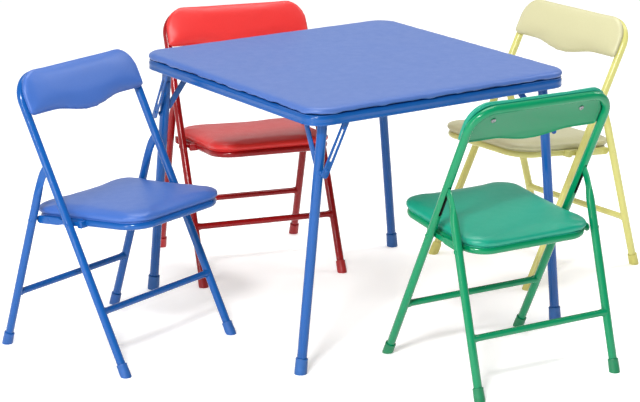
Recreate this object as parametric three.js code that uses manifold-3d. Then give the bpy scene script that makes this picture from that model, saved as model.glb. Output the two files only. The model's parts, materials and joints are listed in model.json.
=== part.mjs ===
// A folding children's table with four folding chairs, in millimetres, +Z up.
// The table stands in the middle, and one blue, one red, one green and one yellow chair stand round it.
// Tubes are modelled as solid bars. Every piece that moves on its own hinge is a separate mesh.

import * as THREE from 'three';
import { mergeVertices } from 'three/addons/utils/BufferGeometryUtils.js';
import Module from 'manifold-3d';

const wasm = await Module();
wasm.setup();

// ---------------------------------------------------------------- driving dimensions

const GAP = 0.3;                 // clearance between pieces that touch
const PIN_R = 3;                 // hinge pins and rivets
const HOLE_R = PIN_R + GAP;

const TABLE = {
  half: 305,                     // half width of the padded top
  corner: 42,                    // corner radius of the top
  padBottom: 499.3,
  padTop: 508.3,
  padEdge: 3.5,                  // rounding of the pad's edge
  boardHalf: 304,                // the board under the pad, inside the same cover
  boardBottom: 494.5,
  boardTop: 499,
  apronHalf: 303,
  apronCorner: 40,
  apronWall: 2.5,
  apronBottom: 474.5,
  apronTop: 494.2,
  lipBottom: 492,                // inward lip that carries the board
  lipThick: 1.7,
  lipWide: 14,
  plateLong: 116,                // corner plates under the board carry the leg hinges
  plateWide: 58,
};

// Tabs folded down from a corner plate; a hinge pin goes through each.
const EAR = { half: 11, thick: 2, drop: 8, clear: 0.7, pinPast: 2 };

const LEG = {
  radius: 9.5,
  hingeX: -258.9,                // hinge of the front leg; the other three follow by quarter turns
  hingeY: -270.2,
  hingeZ: 481.6,
  lean: THREE.MathUtils.degToRad(6.35),   // lean in the fold plane
  splay: THREE.MathUtils.degToRad(1.03),  // lean across the fold plane
  topStub: 3.6,                  // tube above the hinge pin
  footRadius: 12,
  footHeight: 30,
  footFloor: 6,                  // solid rubber under the tube's end
  braceDrop: 100,                // hinge to brace rivet, along the leg
  bracePivotX: -220,             // brace pivot on the apron wall
  bracePivotZ: 483,
  braceInset: 9,                 // apron's outer face to the strip
  braceLong: 126,
  gussetDrop: 86,                // hinge to the gusset's rivet, along the leg
  gussetReach: 65,               // leg centre to the gusset's second pivot
  gussetClear: 0.6,
  gussetShort: 5,                // the strip ends this far before the eye
  gussetEyeRadius: 9,
  gussetEyeThick: 3,
  gussetEarClear: 4,             // the eye's centre to the ear that carries it
};

const LEG_SIDES = 14;
const STRIP = { thick: 2.5, wide: 13, slotFrom: 26, slotWide: 6.6 };

const CHAIR = {
  half: 154,                     // half distance between the side tubes' centres
  tube: 8,
  stretcher: 6.5,
  lean: Math.atan(0.5046),       // back frame from the vertical
  frontFootY: 153,
  rearFootY: -153,
  rearLean: Math.atan(0.295),
  topAlong: 591,                 // floor to the top bend's centre line, along the back frame
  topBend: 48,
  frontStretcherZ: 114,
  rearStretcherZ: 109,
  footRadius: 10,
  footHeight: 25,
  footFloor: 8.4,
};

const JOINT_ALONG = 414.3;       // floor to the rear leg's slot pin, along the back frame
const SLOT = { above: 10, below: 60, wide: 6.6, pastAxis: 4 };
const REAR_CURVE = { startZ: 328, cornerZ: 361, flatFromZ: 318, flatToZ: 342, flatHalf: 2.6 };

const SEAT = {
  pivotZ: 269,
  tilt: Math.atan(0.085),         // the seat's front stands a little higher
  tube: 7,
  front: 142,                    // tube centre line ahead of the pivot
  rear: -110,
  halfFront: 122,
  halfRear: 131.5,
  bendFront: 46,
  bendRear: 42,
  padOver: 7,                    // the pad stands this far outside the tube's centre line
  padBottom: 7.3,                // above the tube's centre line
  padThick: 16.5,
  padEdge: 4,
  plateX: 141.8,                 // inner face of the side plate
  plateThick: 3,
  plateFrom: -90,
  plateTo: 28,
  plateHalf: 10,
  plateCorner: 9,
  plateBolts: [-70, 18],         // bosses that join the plate to the seat tube
  bossRadius: 5,
  studPast: 2,                   // the back frame's studs pass this far through the plate
};

const BACK = {
  halfWide: 156,
  bottomMid: 500.5,              // along the back frame: the lower edge dips in the middle
  bottomSide: 514,
  dipFrom: 0.15,                 // the dip's edge, as shares of the half width
  dipTo: 0.65,
  top: 597.5,
  corner: 46,
  padThick: 17,
  padEdge: 3,
  panelHalf: 145.6,
  panelBottom: 514,
  panelTop: 582.6,
  panelCorner: 38,
  panelFoot: 4,                  // radius of the panel's lower corners
  panelThick: 2,
};

// Each chair's place on the floor and its turn about the vertical.
const CHAIRS = [
  { name: 'blue', x: -492.7, y: 80, turn: -161.8, paint: 0x2c62b8, vinyl: 0x4a6fc4 },
  { name: 'red', x: -0.1, y: 371.9, turn: 165.6, paint: 0xa81d1c, vinyl: 0xc92a26 },
  { name: 'green', x: 36.5, y: -436.5, turn: -3.4, paint: 0x1f8a55, vinyl: 0x22a27c },
  { name: 'yellow', x: 510.9, y: 34.7, turn: 91.6, paint: 0xdcd68a, vinyl: 0xe6e09c },
];

// The front leg and, by quarter turns about the table's centre, the other three.
const LEGS = [
  { name: 'front', quarter: 0 },
  { name: 'right', quarter: 1 },
  { name: 'back', quarter: 2 },
  { name: 'left', quarter: 3 },
];

// ---------------------------------------------------------------- solids

function toSolid(geometry) {
  const bare = geometry.clone();
  bare.deleteAttribute('normal');
  bare.deleteAttribute('uv');
  const merged = mergeVertices(bare, 1e-4);
  return new wasm.Manifold(new wasm.Mesh({
    numProp: 3,
    vertProperties: new Float32Array(merged.attributes.position.array),
    triVerts: new Uint32Array(merged.index.array),
  }));
}

function toGeometry(solid) {
  const mesh = solid.getMesh();
  const geometry = new THREE.BufferGeometry();
  geometry.setAttribute('position', new THREE.BufferAttribute(new Float32Array(mesh.vertProperties), 3));
  geometry.setIndex(Array.from(mesh.triVerts));
  geometry.computeVertexNormals();
  return geometry;
}

function union(geometries) {
  return toGeometry(geometries.map(toSolid).reduce((sum, solid) => sum.add(solid)));
}

function cut(geometry, tools) {
  return toGeometry(tools.map(toSolid).reduce((rest, tool) => rest.subtract(tool), toSolid(geometry)));
}

// A path through given stations, sampled at exactly those stations.
class StationPath extends THREE.Curve {
  constructor(stations) {
    super();
    this.stations = stations;
  }

  getPoint(t, target = new THREE.Vector3()) {
    const last = this.stations.length - 1;
    const at = THREE.MathUtils.clamp(t, 0, 1) * last;
    const i = Math.min(Math.floor(at), last - 1);
    return target.lerpVectors(this.stations[i], this.stations[i + 1], at - i);
  }

  getUtoTmapping(u) {
    return u;
  }
}

function circleShape(radius, sides) {
  const points = Array.from({ length: sides }, (_, i) => {
    const angle = 2 * Math.PI * (i + 0.5) / sides;
    return new THREE.Vector2(radius * Math.cos(angle), radius * Math.sin(angle));
  });
  return new THREE.Shape(points);
}

// A round bar whose centre line passes through the stations.
function bar(stations, radius, sides = 10) {
  return new THREE.ExtrudeGeometry(circleShape(radius, sides), {
    steps: stations.length - 1,
    extrudePath: new StationPath(stations),
  });
}

// A straight round bar between two points.
function rod(from, to, radius, sides = 8) {
  return bar([from, to], radius, sides);
}

function box(from, to) {
  const size = new THREE.Vector3().subVectors(to, from);
  const centre = new THREE.Vector3().addVectors(from, to).multiplyScalar(0.5);
  return new THREE.BoxGeometry(size.x, size.y, size.z).translate(centre.x, centre.y, centre.z);
}

const v3 = (x, y, z) => new THREE.Vector3(x, y, z);

// Points of a closed outline with each corner rounded; corners go counter-clockwise as [x, y, radius].
function roundedOutline(corners, steps) {
  const points = [];
  corners.forEach(([x, y, radius], i) => {
    const here = new THREE.Vector2(x, y);
    const before = corners[(i + corners.length - 1) % corners.length];
    const after = corners[(i + 1) % corners.length];
    const back = new THREE.Vector2(before[0], before[1]).sub(here).normalize();
    const ahead = new THREE.Vector2(after[0], after[1]).sub(here).normalize();
    const half = Math.acos(THREE.MathUtils.clamp(back.dot(ahead), -1, 1)) / 2;
    const bisector = back.clone().add(ahead).normalize();
    const centre = here.clone().addScaledVector(bisector, radius / Math.sin(half));
    const start = here.clone().addScaledVector(back, radius / Math.tan(half)).sub(centre);
    const sweep = Math.PI - 2 * half;
    for (let k = 0; k <= steps; k += 1) {
      const arm = start.clone().rotateAround(new THREE.Vector2(), sweep * k / steps);
      points.push(centre.clone().add(arm));
    }
  });
  return points;
}

function roundedSquare(half, radius, steps = 5) {
  return roundedOutline([
    [half, -half, radius], [half, half, radius], [-half, half, radius], [-half, -half, radius],
  ], steps);
}

// An upright slab from z = bottom to z = top, with an optional rounded edge.
function slab(outline, bottom, top, edge = 0, hole = null) {
  const shape = new THREE.Shape(outline);
  if (hole) {
    shape.holes.push(new THREE.Path(hole));
  }
  const geometry = new THREE.ExtrudeGeometry(shape, {
    depth: top - bottom - 2 * edge,
    bevelEnabled: edge > 0,
    bevelThickness: edge,
    bevelSize: edge,
    bevelOffset: -edge,
    bevelSegments: 2,
  });
  return geometry.translate(0, 0, bottom + edge);
}

// A cup round a tube's lower end, its bottom trimmed flat to the floor; the tube runs up the z axis
// before leanX and leanY tip it. The origin is where the tube's centre line meets the floor.
function footCap(outer, tubeRadius, height, floor, leanX, leanY) {
  const sides = 12;
  const bore = (tubeRadius + GAP) / Math.cos(Math.PI / sides);
  const profile = [
    [0, -outer], [outer, -outer], [outer, height], [bore, height], [bore, floor], [0, floor],
  ].map(([r, h]) => new THREE.Vector2(r, h));
  const cup = new THREE.LatheGeometry(profile, sides).rotateX(Math.PI / 2);
  cup.rotateX(leanX).rotateY(leanY);
  const reach = 4 * outer;
  return cut(cup, [box(v3(-reach, -reach, -reach), v3(reach, reach, 0))]);
}

function material(color, roughness, metalness) {
  return new THREE.MeshStandardMaterial({ color, roughness, metalness });
}

function addMesh(group, name, geometry, surface) {
  const mesh = new THREE.Mesh(geometry, surface);
  mesh.name = name;
  group.add(mesh);
  return mesh;
}

// ---------------------------------------------------------------- table

const tablePaint = material(0x2f66bd, 0.35, 0.2);
const tableVinyl = material(0x4c6fc6, 0.5, 0);
const boardWood = material(0xa98a62, 0.8, 0);

// Unit vector down the front leg.
const legDown = v3(-Math.tan(LEG.lean), -Math.tan(LEG.splay), -1).normalize();
const legHinge = v3(LEG.hingeX, LEG.hingeY, LEG.hingeZ);

function onLeg(distance) {
  return legHinge.clone().addScaledVector(legDown, distance);
}

const braceY = -TABLE.apronHalf + LEG.braceInset;
const bracePivot = v3(LEG.bracePivotX, braceY, LEG.bracePivotZ);
const gussetPivot = v3(LEG.hingeX, LEG.hingeY + LEG.gussetReach, LEG.hingeZ);

// The apron's outer outline drawn in by inset.
function apronOutline(inset) {
  return roundedSquare(TABLE.apronHalf - inset, TABLE.apronCorner - inset);
}

// Ears, pins and corner plate that carry the front leg; they are one with the apron.
function cornerHardware() {
  const inner = TABLE.apronHalf - TABLE.apronWall / 2;
  const lipTop = TABLE.lipBottom + TABLE.lipThick;
  const earTop = (TABLE.lipBottom + lipTop) / 2;
  const plate = box(
    v3(-inner, -inner, TABLE.lipBottom),
    v3(-inner + TABLE.plateWide, -inner + TABLE.plateLong, lipTop),
  );
  const earFrom = [
    LEG.hingeY + LEG.radius + EAR.clear,
    LEG.hingeY - LEG.radius - EAR.clear - EAR.thick,
    gussetPivot.y + LEG.gussetEarClear,
  ];
  const ears = earFrom.map((y) => box(
    v3(LEG.hingeX - EAR.half, y, LEG.hingeZ - EAR.drop),
    v3(LEG.hingeX + EAR.half, y + EAR.thick, earTop),
  ));
  const hingeReach = v3(0, LEG.radius + EAR.pinPast, 0);
  const hingePin = rod(legHinge.clone().sub(hingeReach), legHinge.clone().add(hingeReach), PIN_R);
  const gussetPin = rod(
    gussetPivot.clone().add(v3(0, -EAR.pinPast, 0)),
    gussetPivot.clone().add(v3(0, LEG.gussetEarClear + EAR.thick / 2, 0)),
    PIN_R,
  );
  const studEnd = bracePivot.clone().add(v3(0, 2 * STRIP.thick, 0));
  const braceStud = rod(v3(bracePivot.x, -inner, bracePivot.z), studEnd, PIN_R);
  return [plate, ...ears, hingePin, gussetPin, braceStud];
}

function tableFrame() {
  const wallIn = apronOutline(TABLE.apronWall);
  const lipOut = apronOutline(TABLE.apronWall / 2);
  const lipIn = apronOutline(TABLE.apronWall + TABLE.lipWide);
  const wall = slab(apronOutline(0), TABLE.apronBottom, TABLE.apronTop, 0, wallIn);
  const lip = slab(lipOut, TABLE.lipBottom, TABLE.lipBottom + TABLE.lipThick, 0, lipIn);
  const hardware = LEGS.flatMap(({ quarter }) => (
    cornerHardware().map((piece) => piece.rotateZ(quarter * Math.PI / 2))
  ));
  const whole = union([wall, lip, ...hardware]);
  const outside = slab(apronOutline(-EAR.half - LEG.radius), 0, 2 * TABLE.padTop, 0, apronOutline(0));
  return cut(whole, [outside]);
}

function tableBoard() {
  const corner = TABLE.corner - TABLE.half + TABLE.boardHalf;
  return slab(roundedSquare(TABLE.boardHalf, corner), TABLE.boardBottom, TABLE.boardTop);
}

function tableTop() {
  return slab(roundedSquare(TABLE.half, TABLE.corner, 6), TABLE.padBottom, TABLE.padTop, TABLE.padEdge);
}

// The leg is drawn about its hinge.
function tableLeg() {
  const length = LEG.hingeZ / -legDown.z - LEG.footFloor - GAP;
  const tube = rod(
    legDown.clone().multiplyScalar(-LEG.topStub),
    legDown.clone().multiplyScalar(length),
    LEG.radius,
    LEG_SIDES,
  );
  const across = v3(0, 2 * LEG.radius, 0);
  const hingeHole = rod(across.clone().negate(), across, HOLE_R);
  return cut(tube, [hingeHole]);
}

// A flat strip with round ends in its own x-y plane, from the origin along +X.
function strip(length, wide, thick) {
  const r = wide / 2;
  const outline = roundedOutline([[length + r, -r, r], [length + r, r, r], [-r, r, r], [-r, -r, r]], 3);
  return slab(outline, -thick / 2, thick / 2);
}

// The slotted brace, drawn about its pivot on the apron and lying in the x-z plane.
function legBrace() {
  const blank = strip(LEG.braceLong - STRIP.wide / 2, STRIP.wide, STRIP.thick);
  const slot = strip(LEG.braceLong - STRIP.wide - STRIP.slotFrom, STRIP.slotWide, 3 * STRIP.thick)
    .translate(STRIP.slotFrom, 0, 0);
  const through = v3(0, 0, 3 * STRIP.thick);
  const pivotHole = rod(through.clone().negate(), through, HOLE_R);
  const rivet = onLeg(LEG.braceDrop);
  const drop = Math.atan2(rivet.z - bracePivot.z, rivet.x - bracePivot.x);
  return cut(blank, [slot, pivotHole]).rotateX(Math.PI / 2).rotateY(-drop);
}

// The inner gusset, drawn about the leg's hinge: a flat strip from the leg's side up to a second eye
// on the hinge axis. The strip ends on the eye's near face, a little below and behind its hole.
function legGusset() {
  const foot = onLeg(LEG.gussetDrop).sub(legHinge);
  const eye = gussetPivot.clone().sub(legHinge);
  const start = foot.clone().add(v3(0, LEG.radius + LEG.gussetClear, 0));
  const end = v3(0, eye.y - LEG.gussetShort, -LEG.gussetEyeRadius);
  const along = end.clone().sub(start);
  const thin = along.clone().cross(legDown).normalize();
  const turn = new THREE.Matrix4().makeBasis(
    along.clone().normalize(),
    thin.clone().cross(along).normalize(),
    thin,
  );
  const band = strip(along.length(), STRIP.wide, STRIP.thick).applyMatrix4(turn.setPosition(start));
  const halfEye = v3(0, LEG.gussetEyeThick / 2, 0);
  const eyePlate = rod(eye.clone().sub(halfEye), eye.clone().add(halfEye), LEG.gussetEyeRadius, 12);
  const legSpace = rod(
    legDown.clone().multiplyScalar(-2 * LEG.footRadius),
    legDown.clone().multiplyScalar(2 * LEG.gussetDrop),
    LEG.radius + GAP,
    LEG_SIDES,
  );
  const farPast = v3(0, LEG.gussetEyeRadius, 0);
  const eyeHole = rod(eye.clone().sub(farPast), eye.clone().add(farPast), HOLE_R);
  return cut(union([band, eyePlate]), [legSpace, eyeHole]);
}

function tableFoot() {
  return footCap(LEG.footRadius, LEG.radius, LEG.footHeight, LEG.footFloor, -LEG.splay, LEG.lean);
}

function buildTable() {
  const table = new THREE.Group();
  addMesh(table, 'table_frame', tableFrame(), tablePaint);
  addMesh(table, 'table_board', tableBoard(), boardWood);
  addMesh(table, 'table_top', tableTop(), tableVinyl);
  const shapes = { leg: tableLeg(), gusset: legGusset(), brace: legBrace(), foot: tableFoot() };
  const footPlace = onLeg(LEG.hingeZ / -legDown.z);
  LEGS.forEach(({ name, quarter }) => {
    const corner = new THREE.Group();
    corner.rotation.z = quarter * Math.PI / 2;
    table.add(corner);
    addMesh(corner, `table_leg_${name}`, shapes.leg, tablePaint).position.copy(legHinge);
    addMesh(corner, `leg_gusset_${name}`, shapes.gusset, tablePaint).position.copy(legHinge);
    addMesh(corner, `leg_brace_${name}`, shapes.brace, tablePaint).position.copy(bracePivot);
    addMesh(corner, `table_foot_${name}`, shapes.foot, tablePaint).position.copy(footPlace);
  });
  return table;
}

// ---------------------------------------------------------------- chair

// Plane of the back frame: x across, "along" up the tubes from the floor, "proud" towards the sitter.
const backUp = v3(0, -Math.sin(CHAIR.lean), Math.cos(CHAIR.lean));
const backFore = v3(0, Math.cos(CHAIR.lean), Math.sin(CHAIR.lean));
const seatPivot = v3(0, CHAIR.frontFootY - SEAT.pivotZ * Math.tan(CHAIR.lean), SEAT.pivotZ);

function onBack(x, along, proud = 0) {
  return v3(x, CHAIR.frontFootY, 0).addScaledVector(backUp, along).addScaledVector(backFore, proud);
}

// Lifts a shape drawn with x across, y along the back frame and z behind it into the chair.
function placeOnBack(geometry) {
  return geometry.rotateX(Math.PI / 2 + CHAIR.lean).translate(0, CHAIR.frontFootY, 0);
}

const SIDES = [-1, 1];

function arcStations(centre, radius, from, to, steps) {
  return Array.from({ length: steps + 1 }, (_, i) => {
    const angle = from + (to - from) * i / steps;
    return [centre[0] + radius * Math.cos(angle), centre[1] + radius * Math.sin(angle)];
  });
}

function backFrame() {
  const bendX = CHAIR.half - CHAIR.topBend;
  const bendAlong = CHAIR.topAlong - CHAIR.topBend;
  const outline = [
    [CHAIR.half, CHAIR.footFloor + GAP],
    ...arcStations([bendX, bendAlong], CHAIR.topBend, 0, Math.PI / 2, 5),
    ...arcStations([-bendX, bendAlong], CHAIR.topBend, Math.PI / 2, Math.PI, 5),
    [-CHAIR.half, CHAIR.footFloor + GAP],
  ];
  const hoop = bar(outline.map(([x, along]) => onBack(x, along)), CHAIR.tube);
  const stretcherAlong = CHAIR.frontStretcherZ / Math.cos(CHAIR.lean);
  const stretcher = rod(
    onBack(-CHAIR.half, stretcherAlong),
    onBack(CHAIR.half, stretcherAlong),
    CHAIR.stretcher,
  );
  const studs = SIDES.map((sign) => rod(
    v3(sign * CHAIR.half, 0, 0).add(seatPivot),
    v3(sign * (SEAT.plateX - SEAT.studPast), 0, 0).add(seatPivot),
    PIN_R,
  ));
  const slots = SIDES.map((sign) => placeOnBack(box(
    v3(sign * CHAIR.half - SLOT.wide / 2, JOINT_ALONG - SLOT.below, -SLOT.pastAxis),
    v3(sign * CHAIR.half + SLOT.wide / 2, JOINT_ALONG + SLOT.above, 2 * CHAIR.tube),
  )));
  return cut(union([hoop, stretcher, ...studs]), slots);
}

// Station heights up the rear leg: straight, then curving forward to the slot in the back frame.
function rearLegStations(sign) {
  const onLine = (z) => v3(sign * CHAIR.half, CHAIR.rearFootY + z * Math.tan(CHAIR.rearLean), z);
  const curve = new THREE.QuadraticBezierCurve3(
    onLine(REAR_CURVE.startZ),
    onLine(REAR_CURVE.cornerZ),
    onBack(sign * CHAIR.half, JOINT_ALONG),
  );
  const bottom = (CHAIR.footFloor + GAP) * Math.cos(CHAIR.rearLean);
  return [onLine(bottom), ...curve.getPoints(5)];
}

function rearFrame() {
  const legs = SIDES.map((sign) => {
    const leg = bar(rearLegStations(sign), CHAIR.tube);
    const position = leg.attributes.position;
    for (let i = 0; i < position.count; i += 1) {
      const rise = THREE.MathUtils.smoothstep(position.getZ(i), REAR_CURVE.flatFromZ, REAR_CURVE.flatToZ);
      const squeeze = THREE.MathUtils.lerp(1, REAR_CURVE.flatHalf / CHAIR.tube, rise);
      const off = position.getX(i) - sign * CHAIR.half;
      position.setX(i, sign * CHAIR.half + off * squeeze);
    }
    return leg;
  });
  const y = CHAIR.rearFootY + CHAIR.rearStretcherZ * Math.tan(CHAIR.rearLean);
  const stretcher = rod(
    v3(-CHAIR.half, y, CHAIR.rearStretcherZ),
    v3(CHAIR.half, y, CHAIR.rearStretcherZ),
    CHAIR.stretcher,
  );
  return union([...legs, stretcher]);
}

// Outline of the seat, grown outwards from the tube's centre line; y is measured from the seat's pivot.
function seatOutline(grow, steps) {
  const front = SEAT.front + grow;
  const rear = SEAT.rear - grow;
  const rf = SEAT.bendFront + grow;
  const rr = SEAT.bendRear + grow;
  const xf = SEAT.halfFront + grow;
  const xr = SEAT.halfRear + grow;
  return roundedOutline([[xr, rear, rr], [xf, front, rf], [-xf, front, rf], [-xr, rear, rr]], steps);
}

// The seat frame, drawn about its pivot with the seat lying level.
function seatFrame() {
  const steps = 5;
  const loop = seatOutline(0, steps).map((p) => v3(p.x, p.y, 0));
  const [rearRight, frontRight, frontLeft, rearLeft] = [0, 1, 2, 3].map((corner) => (
    loop.slice(corner * (steps + 1), (corner + 1) * (steps + 1))
  ));
  const alongRight = (t) => rearRight.at(-1).clone().lerp(frontRight[0], t);
  const alongLeft = (t) => frontLeft.at(-1).clone().lerp(rearLeft[0], t);
  // Two half loops lap along the straight sides and join into one ring.
  const [early, late] = [0.4, 0.6];
  const front = bar([alongRight(early), ...frontRight, ...frontLeft, alongLeft(late)], SEAT.tube, 8);
  const rear = bar([alongLeft(early), ...rearLeft, ...rearRight, alongRight(late)], SEAT.tube, 8);
  const plates = SIDES.map((sign) => {
    const plate = roundedOutline([
      [SEAT.plateTo, -SEAT.plateHalf, SEAT.plateCorner],
      [SEAT.plateTo, SEAT.plateHalf, SEAT.plateCorner],
      [SEAT.plateFrom, SEAT.plateHalf, SEAT.plateCorner],
      [SEAT.plateFrom, -SEAT.plateHalf, SEAT.plateCorner],
    ], 3);
    const flat = slab(plate, 0, SEAT.plateThick).rotateX(Math.PI / 2).rotateZ(Math.PI / 2);
    flat.translate(sign > 0 ? SEAT.plateX : -SEAT.plateX - SEAT.plateThick, 0, 0);
    const bosses = SEAT.plateBolts.map((y) => rod(
      v3(sign * (SEAT.halfRear - SEAT.tube), y, 0),
      v3(sign * (SEAT.plateX + SEAT.plateThick / 2), y, 0),
      SEAT.bossRadius,
    ));
    return [flat, ...bosses];
  }).flat();
  const holes = SIDES.map((sign) => rod(
    v3(sign * (SEAT.plateX - SEAT.plateThick), 0, 0),
    v3(sign * (SEAT.plateX + 2 * SEAT.plateThick), 0, 0),
    HOLE_R,
  ));
  return cut(union([front, rear, ...plates]), holes);
}

function seatPad() {
  return slab(seatOutline(SEAT.padOver, 6), SEAT.padBottom, SEAT.padBottom + SEAT.padThick, SEAT.padEdge);
}

// The backrest's outline: its lower edge dips in the middle and its upper corners follow the hoop.
function backrestOutline() {
  const dip = BACK.bottomSide - BACK.bottomMid;
  const lower = [-1, -0.5, -0.2, 0.2, 0.5, 1].map((t) => {
    const rise = THREE.MathUtils.smoothstep(Math.abs(t), BACK.dipFrom, BACK.dipTo) * dip;
    return new THREE.Vector2(t * BACK.halfWide, BACK.bottomMid + rise);
  });
  const steps = 5;
  const around = roundedOutline([
    [BACK.halfWide, BACK.bottomSide, 1], [BACK.halfWide, BACK.top, BACK.corner],
    [-BACK.halfWide, BACK.top, BACK.corner], [-BACK.halfWide, BACK.bottomSide, 1],
  ], steps);
  const upper = around.slice(steps + 1, 3 * (steps + 1));
  return [...lower, ...upper];
}

function backrestPad() {
  const rear = -CHAIR.tube - GAP;
  return placeOnBack(slab(backrestOutline(), rear - BACK.padThick, rear, BACK.padEdge));
}

function backrestPanel() {
  const { panelHalf: w, panelBottom: low, panelTop: high, panelCorner: r, panelFoot: foot } = BACK;
  const outline = roundedOutline([[w, low, foot], [w, high, r], [-w, high, r], [-w, low, foot]], 5);
  return placeOnBack(slab(outline, -CHAIR.tube, BACK.panelThick - CHAIR.tube));
}

function buildChair({ name, x, y, turn, paint, vinyl }) {
  const chair = new THREE.Group();
  chair.position.set(x, y, 0);
  chair.rotation.z = THREE.MathUtils.degToRad(turn);
  const steel = material(paint, 0.35, 0.2);
  const cover = material(vinyl, 0.5, 0);
  const seat = new THREE.Group();
  seat.position.copy(seatPivot);
  seat.rotation.x = SEAT.tilt;
  chair.add(seat);
  addMesh(chair, `${name}_back_frame`, backFrame(), steel);
  addMesh(chair, `${name}_rear_frame`, rearFrame(), steel);
  addMesh(seat, `${name}_seat_frame`, seatFrame(), steel);
  addMesh(seat, `${name}_seat_pad`, seatPad(), cover);
  addMesh(chair, `${name}_backrest_pad`, backrestPad(), cover);
  addMesh(chair, `${name}_backrest_panel`, backrestPanel(), steel);
  const ends = [
    { end: 'front', footY: CHAIR.frontFootY, lean: CHAIR.lean },
    { end: 'rear', footY: CHAIR.rearFootY, lean: -CHAIR.rearLean },
  ];
  ends.forEach(({ end, footY, lean }) => {
    const cap = footCap(CHAIR.footRadius, CHAIR.tube, CHAIR.footHeight, CHAIR.footFloor, lean, 0);
    ['left', 'right'].forEach((side, i) => {
      const foot = addMesh(chair, `${name}_foot_${end}_${side}`, cap, steel);
      foot.position.set(SIDES[i] * CHAIR.half, footY, 0);
    });
  });
  return chair;
}

// ---------------------------------------------------------------- the set

// The set's origin is on the floor under the middle of its bounding box.
const set = new THREE.Group();
set.add(buildTable(), ...CHAIRS.map(buildChair));
set.updateMatrixWorld(true);
const bounds = new THREE.Box3().setFromObject(set, true);
const middle = bounds.getCenter(new THREE.Vector3());
set.position.set(-middle.x, -middle.y, 0);
set.updateMatrixWorld(true);

export default set;
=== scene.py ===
import json
import math

import bmesh
import bpy
import numpy as np
from mathutils import Matrix, Vector


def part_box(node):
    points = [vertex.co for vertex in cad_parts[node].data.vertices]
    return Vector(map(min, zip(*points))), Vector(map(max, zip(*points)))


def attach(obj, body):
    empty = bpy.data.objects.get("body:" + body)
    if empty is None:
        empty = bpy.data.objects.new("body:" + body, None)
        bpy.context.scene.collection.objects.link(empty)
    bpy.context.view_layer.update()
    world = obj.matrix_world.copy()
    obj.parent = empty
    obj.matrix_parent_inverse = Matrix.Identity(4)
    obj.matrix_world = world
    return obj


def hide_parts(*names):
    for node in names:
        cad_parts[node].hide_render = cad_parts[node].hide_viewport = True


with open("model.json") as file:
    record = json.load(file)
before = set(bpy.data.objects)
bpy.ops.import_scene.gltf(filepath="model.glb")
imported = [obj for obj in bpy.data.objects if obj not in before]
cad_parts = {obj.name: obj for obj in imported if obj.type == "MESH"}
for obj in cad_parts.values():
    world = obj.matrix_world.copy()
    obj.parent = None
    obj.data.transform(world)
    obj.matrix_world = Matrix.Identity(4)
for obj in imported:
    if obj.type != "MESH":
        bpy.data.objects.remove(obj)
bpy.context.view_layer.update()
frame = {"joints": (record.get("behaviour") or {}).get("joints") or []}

# Lengths are in millimetres until a piece is placed, and in metres after that.
MM = 0.001
TAU = 2 * math.pi
SIDES = (-1, 1)

# ------------------------------------------------------------------ finish colours

# sRGB colours of each slot.
COLOURS = {
    "table": {"paint": (10, 78, 148), "vinyl": (68, 100, 166), "cap": (24, 84, 150)},
    "blue": {"paint": (12, 79, 150), "vinyl": (56, 96, 170), "cap": (24, 82, 152)},
    "red": {"paint": (136, 8, 14), "vinyl": (206, 40, 38), "cap": (150, 16, 20)},
    "green": {"paint": (0, 128, 83), "vinyl": (0, 143, 116), "cap": (6, 116, 74)},
    "yellow": {"paint": (198, 194, 116), "vinyl": (188, 184, 144), "cap": (196, 190, 104)},
}
BOARD_BROWN = (128, 98, 66)
ZINC_GREY = (150, 152, 154)
# Near-black painted shade for the walls of the hoop's slots, where the tube's hollow lies in shadow.
SLOT_SHADE_RGB = (12, 14, 14)
FLOOR_WHITES = (244, 244, 244), (248, 248, 248)
# Pebbles of the vinyl's grain per metre.
PEBBLE_SCALE = 620


def linear(rgb, gain=1.0):
    """An sRGB colour in bytes as linear RGBA, made brighter or darker by gain."""
    out = []
    for c in rgb:
        c = c / 255
        c = c / 12.92 if c <= 0.04045 else ((c + 0.055) / 1.055) ** 2.4
        out.append(min(c * gain, 1.0))
    return (*out, 1.0)


# ------------------------------------------------------------------ materials

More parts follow.
